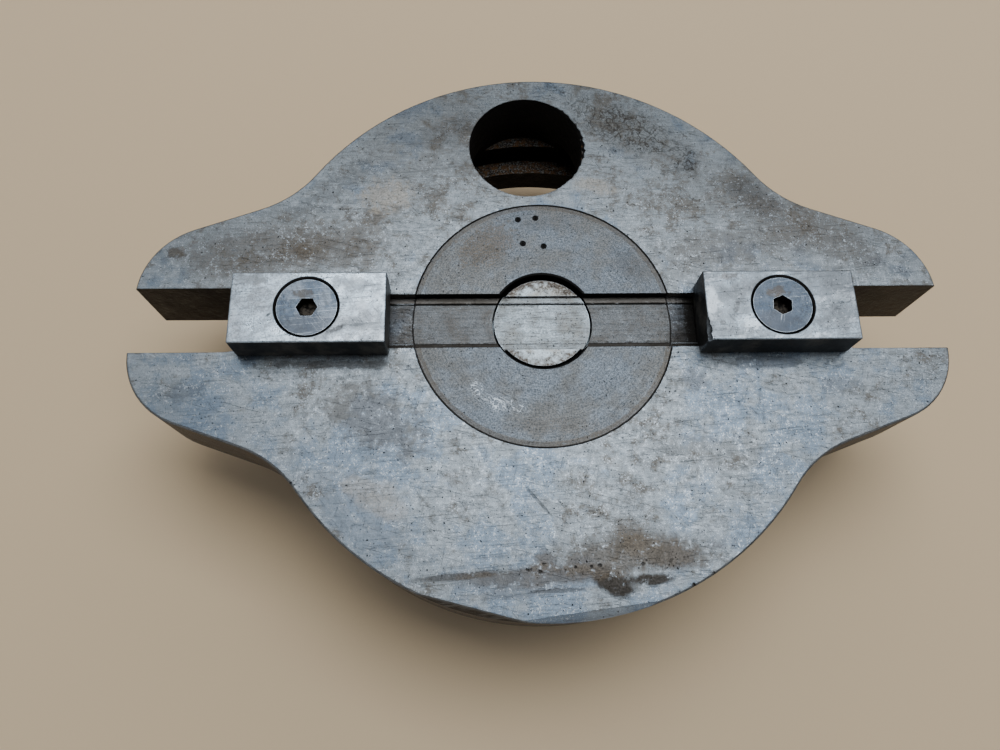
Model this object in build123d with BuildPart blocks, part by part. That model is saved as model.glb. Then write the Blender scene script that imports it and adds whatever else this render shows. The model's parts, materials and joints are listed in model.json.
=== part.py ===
from build123d import *
import math
import os

# Swivel plate for a machine vice, lying upside down on its pivot spigot.
# +Z leaves the side that bolts to the machine table, the swivel axis is Z and the
# origin is on that axis, at the spigot's end. The tenon groove runs along X.
# Millimetres; most sizes are round inch fractions.

# Heights
SPIGOT_RISE = 12.7
BODY_THICKNESS = 28.575
EAR_THICKNESS = 18.0
SWIVEL_FACE_Z = SPIGOT_RISE
TABLE_FACE_Z = SWIVEL_FACE_Z + BODY_THICKNESS
EAR_Z = TABLE_FACE_Z - EAR_THICKNESS

# Plan outline
BODY_RADIUS = 63.5
HALF_LENGTH = 89.2
EAR_TIP_HALF_WIDTH = 18.6
EAR_SLOPE = 20.0
EAR_TIP_RADIUS = 17.0
WAIST_RADIUS = 25.4
CASTING_FILLET = 2.4
EDGE_BREAK = 0.4

# Hold-down slots, open at the tips
HOLD_DOWN_WIDTH = 15.0
HOLD_DOWN_CENTRE = 69.0
HOLD_DOWN_Y = 0.45

# Circular T-slot in the swivel face, and the hole that lets T-nuts into it
T_SLOT_RADIUS = 44.85
T_SLOT_NECK = 13.1
T_SLOT_WIDTH = 20.7
T_SLOT_LIP = 7.0
T_SLOT_DEPTH = 15.875
ACCESS_RADIUS = 13.45
ACCESS_CENTRE = (-2.5, 44.45)
ACCESS_DEPTH = 15.2

# Tenon groove, with a shallow relief along its middle
GROOVE_WIDTH = 12.7
GROOVE_DEPTH = 2.0
RELIEF_WIDTH = 9.5
RELIEF_DEPTH = 0.4
GROOVE_LENGTH = 2 * HOLD_DOWN_CENTRE

# Tenon blocks and their screws
TENON_WIDTH = 15.875
TENON_LENGTH = 32.4
TENON_RISE = 7.9375
TENON_LEFT_X = -49.65
TENON_RIGHT_X = 50.1
SCREW_LEFT_X = -49.9
SCREW_RIGHT_X = 50.35
TENON_EDGE_BREAK = 0.35
TENON_SCREW_LENGTH = 15.875
TENON_HOLE_DEPTH = 7.0
SCREW_SINK = 0.24
SCREW_HEAD_RADIUS = 6.3
SCREW_HEAD_LAND = 0.45
COUNTERSINK_RADIUS = 6.9
COUNTERSINK_ANGLE = 82
QUARTER_SCREW_RADIUS = 3.175
THREAD_ALLOWANCE = 0.075
TENON_KEY_SOCKET = 3.97
KEY_SOCKET_DEPTH = 2.6

# Pivot
DISC_RADIUS = 28.575
DISC_THICKNESS = 9.525
RUNNING_GAP = 0.06
SEAM_BREAK = 0.15
DISC_BEVEL_WIDTH = 1.1
DISC_BEVEL_DEPTH = 0.13
WASHER_THICKNESS = 1.5875
SPIGOT_RADIUS = 23.8125
SHOULDER_RADIUS = 25.4
JOURNAL_RADIUS = 22.225
BUSH_LENGTH = 12.7
DISC_BACK_Z = TABLE_FACE_Z - DISC_THICKNESS
WASHER_Z = DISC_BACK_Z - WASHER_THICKNESS
BUSH_Z = WASHER_Z - BUSH_LENGTH
PIN_RADIUS = 11.1125
PIN_NECK_RADIUS = 10.65
PIN_NECK_LENGTH = 5.0
PIN_RECESS = 1.4
PIN_END_BREAK = 0.5
PIN_HOLE_BREAK = 0.35
PIN_TOP_Z = TABLE_FACE_Z - PIN_RECESS
PIN_FOOT = 0.4
CENTRE_DRILL_RADIUS = 3.0
CENTRE_DRILL_TIP_RADIUS = 1.0
SPIGOT_CHAMFER = 1.2

# Fasteners that hold the disc to the spigot
PIVOT_SCREW_CIRCLE = 17.0
PIVOT_SCREW_LENGTH = 31.75
CAP_HEAD_RADIUS = 4.7625
CAP_HEAD_HEIGHT = 6.35
CAP_HOLE_RADIUS = 5.0
CAP_SINK = CAP_HEAD_HEIGHT + 0.4
CAP_KEY_SOCKET = 4.76
DOWEL_RADIUS = 2.38
DOWEL_LENGTH = 15.875
DOWEL_IN_DISC = 6.35
DISC_HOLE_DEPTH = 7.0
WITNESS_MARKS = [(-4.9, 24.9), (-0.9, 25.3), (-3.9, 18.8), (0.8, 18.1)]
WITNESS_RADIUS = 0.75
WITNESS_TIP_RADIUS = 0.05
WITNESS_DEPTH = 0.45

# T-nuts
NUT_SIDE_GAP = 0.3
NUT_LENGTH = 16.8
NUT_HEAD = 7.9375
NUT_SHANK = 6.35
NUT_LIFT = 0.1
NUT_HOLE_RADIUS = 3.97

# Wear: flats worn on the rim as (direction, distance from the axis, tilt), the ragged
# break along one side of the access hole's mouth as (direction, bite), nicks in the rim's
# edge as (direction, size), and the bruises on the top edge of the right tenon block's
# inner end as (y, bite)
WORN_FLATS = [(-83.0, 61.7, 26.0), (-105.0, 62.3, 62.0)]
HOLE_BREAK = [
    (60, -0.10),
    (55, 0.22),
    (52, 0.08),
    (48, 0.42),
    (45, 0.18),
    (40, 0.34),
    (37, 0.10),
    (30, 0.16),
    (27, 0.38),
    (23, 0.12),
    (19, 0.46),
    (15, 0.30),
    (11, 0.58),
    (8, 0.26),
    (3, 0.66),
    (-1, 0.40),
    (-4, 0.78),
    (-7, 0.44),
    (-12, 0.60),
    (-15, 0.20),
    (-21, 0.36),
    (-24, 0.12),
    (-31, 0.30),
    (-34, 0.06),
    (-39, 0.24),
    (-43, -0.10),
]
HOLE_BREAK_DEPTH = 0.9
HOLE_BREAK_SLOPE = 0.5
RIM_NICKS = [(-59.4, 0.9), (-63.7, 1.2), (-67.6, 0.7), (-146.0, 0.8)]
BRUISES = [(-3.9, 0.45), (-5.6, 0.8), (-7.4, 0.7)]
NICK_TILT = 30
BRUISE_RADIUS = 2.0
BRUISE_LIFT = 0.3


# ---------------------------------------------------------------- groove cutter
# One straight cut passes through the base, the disc and the pin.
with BuildPart() as groove_cutter:
    with BuildSketch(Plane.XY.offset(TABLE_FACE_Z)):
        Rectangle(GROOVE_LENGTH, GROOVE_WIDTH)
    extrude(amount=-GROOVE_DEPTH)
    with BuildSketch(Plane.XY.offset(TABLE_FACE_Z - GROOVE_DEPTH)):
        Rectangle(GROOVE_LENGTH, RELIEF_WIDTH)
    extrude(amount=-RELIEF_DEPTH)


# ---------------------------------------------------------------- base casting
def broken_rim(inset):
    """Points of the broken side of the access hole, closed through the hole's middle."""
    points = [ACCESS_CENTRE]
    for direction, bite in HOLE_BREAK:
        reach = ACCESS_RADIUS + bite - inset
        x = ACCESS_CENTRE[0] + reach * math.cos(math.radians(direction))
        y = ACCESS_CENTRE[1] + reach * math.sin(math.radians(direction))
        points.append((x, y))
    return points


with BuildPart() as base_body:
    with BuildSketch(Plane.XY.offset(SWIVEL_FACE_Z)):
        Circle(BODY_RADIUS)
    extrude(amount=BODY_THICKNESS)

    # cast fillet under the ears, a ring that the plan outline trims
    fillet_middle = CASTING_FILLET * (1 - math.sqrt(0.5))
    with BuildSketch(Plane.XZ) as fillet_section:
        with BuildLine():
            Polyline(
                (BODY_RADIUS, EAR_Z - CASTING_FILLET),
                (BODY_RADIUS - CASTING_FILLET, EAR_Z - CASTING_FILLET),
                (BODY_RADIUS - CASTING_FILLET, EAR_Z),
                (BODY_RADIUS + CASTING_FILLET, EAR_Z),
            )
            ThreePointArc(
                (BODY_RADIUS + CASTING_FILLET, EAR_Z),
                (BODY_RADIUS + fillet_middle, EAR_Z - fillet_middle),
                (BODY_RADIUS, EAR_Z - CASTING_FILLET),
            )
        make_face()
    revolve(fillet_section.sketch, axis=Axis.Z)

    crest = EAR_TIP_HALF_WIDTH + HALF_LENGTH * math.tan(math.radians(EAR_SLOPE))
    with BuildSketch(Plane.XY.offset(SWIVEL_FACE_Z)) as outline:
        with BuildLine():
            Polyline(
                (HALF_LENGTH, -EAR_TIP_HALF_WIDTH),
                (HALF_LENGTH, EAR_TIP_HALF_WIDTH),
                (0, crest),
                (-HALF_LENGTH, EAR_TIP_HALF_WIDTH),
                (-HALF_LENGTH, -EAR_TIP_HALF_WIDTH),
                (0, -crest),
                close=True,
            )
        make_face()
        Circle(BODY_RADIUS)
        ear_corners = outline.vertices().filter_by(lambda v: abs(v.X) > BODY_RADIUS)
        fillet(ear_corners, EAR_TIP_RADIUS)
        waists = outline.vertices().filter_by(lambda v: abs(v.Y) > EAR_TIP_HALF_WIDTH + EAR_TIP_RADIUS / 2)
        fillet(waists, WAIST_RADIUS)
    extrude(outline.sketch, amount=BODY_THICKNESS, mode=Mode.INTERSECT)
    extrude(outline.sketch.moved(Location((0, 0, EAR_Z - SWIVEL_FACE_Z))), amount=EAR_THICKNESS)
    chamfer(base_body.edges().group_by(Axis.Z)[-1], EDGE_BREAK)
    chamfer(base_body.edges().group_by(Axis.Z)[0], EDGE_BREAK)

    # hold-down slots
    with BuildSketch(Plane.XY.offset(TABLE_FACE_Z)):
        with Locations((HALF_LENGTH, HOLD_DOWN_Y), (-HALF_LENGTH, HOLD_DOWN_Y)):
            SlotCenterToCenter(2 * (HALF_LENGTH - HOLD_DOWN_CENTRE), HOLD_DOWN_WIDTH)
    extrude(amount=-BODY_THICKNESS, mode=Mode.SUBTRACT)

    # circular T-slot
    with BuildSketch(Plane.XY.offset(SWIVEL_FACE_Z)):
        Circle(T_SLOT_RADIUS + T_SLOT_NECK / 2)
        Circle(T_SLOT_RADIUS - T_SLOT_NECK / 2, mode=Mode.SUBTRACT)
    extrude(amount=T_SLOT_LIP, mode=Mode.SUBTRACT)
    with BuildSketch(Plane.XY.offset(SWIVEL_FACE_Z + T_SLOT_LIP)):
        Circle(T_SLOT_RADIUS + T_SLOT_WIDTH / 2)
        Circle(T_SLOT_RADIUS - T_SLOT_WIDTH / 2, mode=Mode.SUBTRACT)
    extrude(amount=T_SLOT_DEPTH - T_SLOT_LIP, mode=Mode.SUBTRACT)

    # access hole for the T-nuts, with the casting broken out along one side of its mouth
    with BuildSketch(Plane.XY.offset(TABLE_FACE_Z)):
        with Locations(ACCESS_CENTRE):
            Circle(ACCESS_RADIUS)
    extrude(amount=-ACCESS_DEPTH, mode=Mode.SUBTRACT)
    with BuildSketch(Plane.XY.offset(TABLE_FACE_Z)) as break_mouth:
        with BuildLine():
            Polyline(*broken_rim(0), close=True)
        make_face()
    with BuildSketch(Plane.XY.offset(TABLE_FACE_Z - HOLE_BREAK_DEPTH)) as break_foot:
        with BuildLine():
            Polyline(*broken_rim(HOLE_BREAK_SLOPE), close=True)
        make_face()
    loft([break_mouth.sketch, break_foot.sketch], ruled=True, mode=Mode.SUBTRACT)

    # pivot bore and the recess for the disc
    with Locations((0, 0, TABLE_FACE_Z)):
        CounterBoreHole(
            radius=SHOULDER_RADIUS,
            counter_bore_radius=DISC_RADIUS + RUNNING_GAP,
            counter_bore_depth=DISC_THICKNESS + WASHER_THICKNESS,
            depth=BODY_THICKNESS,
        )
    recess_rim = base_body.edges().filter_by(GeomType.CIRCLE).group_by(Axis.Z)[-1]
    chamfer(recess_rim.filter_by(lambda e: abs(e.radius - DISC_RADIUS) < 2 * RUNNING_GAP), SEAM_BREAK)
    add(groove_cutter.part, mode=Mode.SUBTRACT)

    # tapped holes for the tenon screws
    with Locations(
        (SCREW_LEFT_X, 0, TABLE_FACE_Z - GROOVE_DEPTH - RELIEF_DEPTH),
        (SCREW_RIGHT_X, 0, TABLE_FACE_Z - GROOVE_DEPTH - RELIEF_DEPTH),
    ):
        Hole(QUARTER_SCREW_RADIUS, depth=TENON_HOLE_DEPTH)

    # flats worn on the rim where the plate has been stood on edge
    for direction, distance, tilt in WORN_FLATS:
        out_x = math.cos(math.radians(direction))
        out_y = math.sin(math.radians(direction))
        outward = math.sin(math.radians(tilt))
        worn_flat = Plane(
            (distance * out_x, distance * out_y, TABLE_FACE_Z),
            x_dir=(-out_y, out_x, 0),
            z_dir=(outward * out_x, outward * out_y, math.cos(math.radians(tilt))),
        )
        with BuildSketch(worn_flat):
            Rectangle(BODY_RADIUS, BODY_RADIUS)
        extrude(amount=BODY_RADIUS, mode=Mode.SUBTRACT)
    for direction, size in RIM_NICKS:
        nick_x = BODY_RADIUS * math.cos(math.radians(direction))
        nick_y = BODY_RADIUS * math.sin(math.radians(direction))
        with Locations(Location((nick_x, nick_y, TABLE_FACE_Z), (NICK_TILT, NICK_TILT, direction))):
            Box(size, size / 2, size, mode=Mode.SUBTRACT)
base_body.part.label = "base_body"
export_step(base_body.part, "parts/base_body.step")


# ---------------------------------------------------------------- fixed pivot bearings
with BuildPart() as pivot_bush:
    with BuildSketch(Plane.XY.offset(BUSH_Z)):
        Circle(SHOULDER_RADIUS)
        Circle(JOURNAL_RADIUS, mode=Mode.SUBTRACT)
    extrude(amount=BUSH_LENGTH)
pivot_bush.part.label = "pivot_bush"
export_step(pivot_bush.part, "parts/pivot_bush.step")

with BuildPart() as thrust_washer:
    with BuildSketch(Plane.XY.offset(WASHER_Z)):
        Circle(DISC_RADIUS)
        Circle(JOURNAL_RADIUS + RUNNING_GAP, mode=Mode.SUBTRACT)
    extrude(amount=WASHER_THICKNESS - RUNNING_GAP)
thrust_washer.part.label = "thrust_washer"
export_step(thrust_washer.part, "parts/thrust_washer.step")


# ---------------------------------------------------------------- turning pivot
with BuildPart() as pivot_disc:
    with BuildSketch(Plane.XY.offset(DISC_BACK_Z)):
        Circle(DISC_RADIUS)
        Circle(PIN_RADIUS, mode=Mode.SUBTRACT)
    extrude(amount=DISC_THICKNESS)
    face_edges = pivot_disc.edges().filter_by(GeomType.CIRCLE).group_by(Axis.Z)[-1].sort_by(SortBy.RADIUS)
    chamfer(face_edges[0], PIN_HOLE_BREAK)
    with BuildSketch(Plane.XZ) as bevel_section:
        with BuildLine():
            Polyline(
                (DISC_RADIUS - DISC_BEVEL_WIDTH, TABLE_FACE_Z),
                (DISC_RADIUS, TABLE_FACE_Z - DISC_BEVEL_DEPTH),
                (DISC_RADIUS + DISC_BEVEL_WIDTH, TABLE_FACE_Z - DISC_BEVEL_DEPTH),
                (DISC_RADIUS + DISC_BEVEL_WIDTH, TABLE_FACE_Z),
                close=True,
            )
        make_face()
    revolve(bevel_section.sketch, axis=Axis.Z, mode=Mode.SUBTRACT)
    add(groove_cutter.part, mode=Mode.SUBTRACT)
    with BuildSketch(Plane.XY.offset(DISC_BACK_Z)):
        with PolarLocations(PIVOT_SCREW_CIRCLE, 4, start_angle=45):
            Circle(QUARTER_SCREW_RADIUS)
        with PolarLocations(PIVOT_SCREW_CIRCLE, 2, start_angle=90):
            Circle(DOWEL_RADIUS)
    extrude(amount=DISC_HOLE_DEPTH, mode=Mode.SUBTRACT)
    for mark_x, mark_y in WITNESS_MARKS:
        with Locations((mark_x, mark_y, TABLE_FACE_Z - WITNESS_DEPTH / 2)):
            Cone(WITNESS_TIP_RADIUS, WITNESS_RADIUS, WITNESS_DEPTH, mode=Mode.SUBTRACT)
pivot_disc.part.label = "pivot_disc"
export_step(pivot_disc.part, "parts/pivot_disc.step")

with BuildPart() as swivel_spigot:
    with BuildSketch(Plane.XY):
        Circle(SPIGOT_RADIUS)
    extrude(amount=SPIGOT_RISE)
    with BuildSketch(Plane.XY.offset(SPIGOT_RISE)):
        Circle(SHOULDER_RADIUS - RUNNING_GAP)
    extrude(amount=BUSH_Z - RUNNING_GAP - SPIGOT_RISE)
    with BuildSketch(Plane.XY.offset(BUSH_Z - RUNNING_GAP)):
        Circle(JOURNAL_RADIUS - RUNNING_GAP)
    extrude(amount=DISC_BACK_Z - BUSH_Z + RUNNING_GAP)
    chamfer(swivel_spigot.edges().group_by(Axis.Z)[0], SPIGOT_CHAMFER)
    with BuildSketch(Plane.XY):
        Circle(PIN_RADIUS)
    extrude(amount=DISC_BACK_Z, mode=Mode.SUBTRACT)
    with BuildSketch(Plane.XY):
        with PolarLocations(PIVOT_SCREW_CIRCLE, 4, start_angle=45):
            Circle(CAP_HOLE_RADIUS)
    extrude(amount=CAP_SINK, mode=Mode.SUBTRACT)
    with BuildSketch(Plane.XY.offset(DISC_BACK_Z)):
        with PolarLocations(PIVOT_SCREW_CIRCLE, 4, start_angle=45):
            Circle(QUARTER_SCREW_RADIUS)
    extrude(amount=-(DISC_BACK_Z - CAP_SINK), mode=Mode.SUBTRACT)
    with BuildSketch(Plane.XY.offset(DISC_BACK_Z)):
        with PolarLocations(PIVOT_SCREW_CIRCLE, 2, start_angle=90):
            Circle(DOWEL_RADIUS)
    extrude(amount=-(DOWEL_LENGTH - DOWEL_IN_DISC), mode=Mode.SUBTRACT)
swivel_spigot.part.label = "swivel_spigot"
export_step(swivel_spigot.part, "parts/swivel_spigot.step")

# The pin's exposed end is turned down, so a dark ring shows around it in the disc.
with BuildPart() as centre_pin:
    with BuildSketch(Plane.XY.offset(PIN_FOOT)):
        Circle(PIN_RADIUS)
    extrude(amount=PIN_TOP_Z - PIN_NECK_LENGTH - PIN_FOOT)
    with BuildSketch(Plane.XY.offset(PIN_TOP_Z - PIN_NECK_LENGTH)):
        Circle(PIN_NECK_RADIUS)
    extrude(amount=PIN_NECK_LENGTH)
    chamfer(centre_pin.edges().group_by(Axis.Z)[-1], PIN_END_BREAK)
    chamfer(centre_pin.edges().group_by(Axis.Z)[0], PIN_END_BREAK)
    with Locations((0, 0, PIN_FOOT + CENTRE_DRILL_RADIUS / 2)):
        Cone(CENTRE_DRILL_RADIUS, CENTRE_DRILL_TIP_RADIUS, CENTRE_DRILL_RADIUS, mode=Mode.SUBTRACT)
    add(groove_cutter.part, mode=Mode.SUBTRACT)
centre_pin.part.label = "centre_pin"
export_step(centre_pin.part, "parts/centre_pin.step")

with BuildPart() as pivot_screws:
    with BuildSketch(Plane.XY.offset(CAP_SINK)):
        with PolarLocations(PIVOT_SCREW_CIRCLE, 4, start_angle=45):
            Circle(QUARTER_SCREW_RADIUS - THREAD_ALLOWANCE)
    extrude(amount=PIVOT_SCREW_LENGTH)
    with BuildSketch(Plane.XY.offset(CAP_SINK)):
        with PolarLocations(PIVOT_SCREW_CIRCLE, 4, start_angle=45):
            Circle(CAP_HEAD_RADIUS)
    extrude(amount=-CAP_HEAD_HEIGHT)
    chamfer(pivot_screws.edges().group_by(Axis.Z)[0], EDGE_BREAK)
    chamfer(pivot_screws.edges().group_by(Axis.Z)[-1], EDGE_BREAK)
    with BuildSketch(Plane.XY.offset(CAP_SINK - CAP_HEAD_HEIGHT)):
        with PolarLocations(PIVOT_SCREW_CIRCLE, 4, start_angle=45):
            RegularPolygon(CAP_KEY_SOCKET / 2, 6, major_radius=False)
    extrude(amount=CAP_HEAD_HEIGHT / 2, mode=Mode.SUBTRACT)
pivot_screws.part.label = "pivot_screws"
export_step(pivot_screws.part, "parts/pivot_screws.step")

with BuildPart() as pivot_dowels:
    with BuildSketch(Plane.XY.offset(DISC_BACK_Z + DOWEL_IN_DISC)):
        with PolarLocations(PIVOT_SCREW_CIRCLE, 2, start_angle=90):
            Circle(DOWEL_RADIUS)
    extrude(amount=-DOWEL_LENGTH)
    chamfer(pivot_dowels.edges().group_by(Axis.Z)[0], EDGE_BREAK)
    chamfer(pivot_dowels.edges().group_by(Axis.Z)[-1], EDGE_BREAK)
pivot_dowels.part.label = "pivot_dowels"
export_step(pivot_dowels.part, "parts/pivot_dowels.step")


# ---------------------------------------------------------------- tenons and their screws
def tenon_block(centre_x, screw_x, bruises):
    """A key whose tongue fits the plate's groove and whose upper part fits the table's slot."""
    block_top = TABLE_FACE_Z + TENON_RISE
    with BuildPart() as block:
        with BuildSketch(Plane.XY.offset(TABLE_FACE_Z)) as key_plan:
            with Locations((centre_x, 0)):
                Rectangle(TENON_LENGTH, TENON_WIDTH)
        extrude(key_plan.sketch, amount=TENON_RISE)
        fillet(block.edges(), TENON_EDGE_BREAK)
        with BuildSketch(Plane.XY.offset(TABLE_FACE_Z - GROOVE_DEPTH)) as tongue_plan:
            with Locations((centre_x, 0)):
                Rectangle(TENON_LENGTH - 2 * TENON_EDGE_BREAK, GROOVE_WIDTH)
        extrude(tongue_plan.sketch, amount=GROOVE_DEPTH + TENON_EDGE_BREAK)
        with Locations((screw_x, 0, block_top)):
            CounterSinkHole(
                radius=QUARTER_SCREW_RADIUS,
                counter_sink_radius=COUNTERSINK_RADIUS,
                counter_sink_angle=COUNTERSINK_ANGLE,
                depth=TENON_RISE + GROOVE_DEPTH,
            )
        for bruise_y, bite in bruises:
            bruise_x = centre_x - TENON_LENGTH / 2 - BRUISE_RADIUS + bite
            with Locations((bruise_x, bruise_y, block_top + BRUISE_LIFT)):
                Sphere(BRUISE_RADIUS, mode=Mode.SUBTRACT)
    return block.part


def tenon_screw(screw_x, socket_turn):
    """A countersunk socket screw, its head a little below the block's face."""
    head_z = TABLE_FACE_Z + TENON_RISE - SCREW_SINK
    cone_depth = (SCREW_HEAD_RADIUS - QUARTER_SCREW_RADIUS) / math.tan(math.radians(COUNTERSINK_ANGLE / 2))
    shank_radius = QUARTER_SCREW_RADIUS - THREAD_ALLOWANCE
    with BuildPart() as screw:
        with BuildSketch(Plane.XZ) as section:
            with BuildLine():
                Polyline(
                    (0, head_z),
                    (SCREW_HEAD_RADIUS, head_z),
                    (SCREW_HEAD_RADIUS, head_z - SCREW_HEAD_LAND),
                    (shank_radius, head_z - SCREW_HEAD_LAND - cone_depth),
                    (shank_radius, head_z - TENON_SCREW_LENGTH + EDGE_BREAK),
                    (shank_radius - EDGE_BREAK, head_z - TENON_SCREW_LENGTH),
                    (0, head_z - TENON_SCREW_LENGTH),
                    close=True,
                )
            make_face()
        revolve(section.sketch, axis=Axis.Z)
        with BuildSketch(Plane.XY.offset(head_z)) as socket:
            RegularPolygon(TENON_KEY_SOCKET / 2, 6, major_radius=False, rotation=socket_turn)
        extrude(socket.sketch, amount=-KEY_SOCKET_DEPTH, mode=Mode.SUBTRACT)
    return screw.part.moved(Location((screw_x, 0, 0)))


for side, block_x, screw_x, bruises, socket_turn in (
    ("left", TENON_LEFT_X, SCREW_LEFT_X, [], 0),
    ("right", TENON_RIGHT_X, SCREW_RIGHT_X, BRUISES, 24),
):
    block = tenon_block(block_x, screw_x, bruises)
    block.label = f"tenon_block_{side}"
    export_step(block, f"parts/{block.label}.step")
    screw = tenon_screw(screw_x, socket_turn)
    screw.label = f"tenon_screw_{side}"
    export_step(screw, f"parts/{screw.label}.step")


# ---------------------------------------------------------------- T-nuts
def t_nut(centre_x):
    """A nut curved to the circular T-slot, short enough to drop through the access hole."""
    head_z = SWIVEL_FACE_Z + T_SLOT_LIP + NUT_LIFT
    head_half = T_SLOT_WIDTH / 2 - NUT_SIDE_GAP
    shank_half = T_SLOT_NECK / 2 - NUT_SIDE_GAP
    with BuildPart() as nut:
        with BuildSketch(Plane.XY.offset(head_z)) as head_plan:
            Circle(T_SLOT_RADIUS + head_half)
            Circle(T_SLOT_RADIUS - head_half, mode=Mode.SUBTRACT)
            with Locations((centre_x, 0)):
                Rectangle(T_SLOT_RADIUS, NUT_LENGTH, mode=Mode.INTERSECT)
        extrude(head_plan.sketch, amount=NUT_HEAD)
        chamfer(nut.edges(), EDGE_BREAK)
        with BuildSketch(Plane.XY.offset(head_z - NUT_SHANK)) as shank_plan:
            Circle(T_SLOT_RADIUS + shank_half)
            Circle(T_SLOT_RADIUS - shank_half, mode=Mode.SUBTRACT)
            with Locations((centre_x, 0)):
                Rectangle(T_SLOT_RADIUS, NUT_LENGTH - 2 * EDGE_BREAK, mode=Mode.INTERSECT)
        extrude(shank_plan.sketch, amount=NUT_SHANK + EDGE_BREAK)
        with Locations((centre_x, 0, head_z + NUT_HEAD)):
            Hole(NUT_HOLE_RADIUS, depth=NUT_HEAD + NUT_SHANK)
    return nut.part


for side, centre_x in (("left", -T_SLOT_RADIUS), ("right", T_SLOT_RADIUS)):
    nut = t_nut(centre_x)
    nut.label = f"t_nut_{side}"
    export_step(nut, f"parts/{nut.label}.step")
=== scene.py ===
import json
from math import radians

import bpy
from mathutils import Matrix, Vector


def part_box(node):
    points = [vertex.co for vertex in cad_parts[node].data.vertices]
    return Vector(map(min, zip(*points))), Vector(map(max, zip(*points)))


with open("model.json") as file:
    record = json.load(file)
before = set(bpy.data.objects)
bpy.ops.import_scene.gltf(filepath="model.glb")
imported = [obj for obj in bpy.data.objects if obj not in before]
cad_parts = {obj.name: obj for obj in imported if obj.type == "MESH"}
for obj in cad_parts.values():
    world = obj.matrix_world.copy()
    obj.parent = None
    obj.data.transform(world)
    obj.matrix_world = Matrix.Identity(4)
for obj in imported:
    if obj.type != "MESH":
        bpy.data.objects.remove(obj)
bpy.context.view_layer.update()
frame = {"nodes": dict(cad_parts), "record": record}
MM = 0.001


# ------------------------------------------------------------------ places, in mm
def box_mm(node):
    low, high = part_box(node)
    return low / MM, high / MM


def centre_mm(node):
    low, high = box_mm(node)
    return (low + high) / 2


mounts = {mount["name"]: mount for mount in frame["record"]["mounts"]}
base_low, base_high = box_mm("base_body")
FACE_Z = base_high.z
SWIVEL_Z = base_low.z
DISC_R = box_mm("pivot_disc")[1].x
PIN_R = box_mm("centre_pin")[1].x
ACCESS = Vector(mounts["access_hole"]["pos_m"]) / MM
ACCESS_R = mounts["access_hole"]["dims"]["r_mm"]
T_SLOT_R = mounts["t_nut_holes"]["dims"]["spacing_x_mm"] / 2
# Sizes in the CAD that no box or mount gives
GROOVE_HALF = 6.35
RELIEF_HALF = 4.75
T_SLOT_HALF = 10.35
SLOT_HALF = 7.5
SLOT_Y = 0.45
SLOT_START = 58.0
SCREW_SEAT_R = 7.05
SOCKET_R = 2.5

# A size so great that a field doesn't change along that axis
FAR = 100000.0
# How much turning marks change along the part, for each mm
RING_DRIFT = 0.02
# How far noise moves a stain's edge, and where the stain starts to fade and ends, in radii
FRAY = 3.4
STAIN_CORE, STAIN_END = 0.55, 1.15
BEVEL_SAMPLES, SKY_SAMPLES = 3, 4


# ------------------------------------------------------------------ node materials
class Field:
    """A number that varies over a surface, with arithmetic that builds math nodes."""

    def __init__(self, surface, socket):
        self.surface = surface
        self.socket = socket

    def __add__(self, other):
        return self.surface.math("ADD", self, other)

    def __sub__(self, other):
        return self.surface.math("SUBTRACT", self, other)

    def __rsub__(self, other):
        return self.surface.math("SUBTRACT", other, self)

    def __mul__(self, other):
        return self.surface.math("MULTIPLY", self, other)

    def __abs__(self):
        return self.surface.math("ABSOLUTE", self)

    def __or__(self, other):
        return self.surface.math("MAXIMUM", self, other)

    def rise(self, low, high):
        """0 below low, 1 above high, smooth between; low above high gives a fall."""
        node = self.surface.node("ShaderNodeMapRange", interpolation_type="SMOOTHSTEP")
        self.surface.put(node.inputs["Value"], self)
        falls = low > high
        node.inputs["From Min"].default_value = high if falls else low
        node.inputs["From Max"].default_value = low if falls else high
        node.inputs["To Min"].default_value = 1.0 if falls else 0.0
        node.inputs["To Max"].default_value = 0.0 if falls else 1.0
        return Field(self.surface, node.outputs["Result"])

    def band(self, low, high, soft):
        """1 from low to high, fading over soft on both sides."""
        return self.rise(low - soft, low) * self.rise(high + soft, high)


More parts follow.
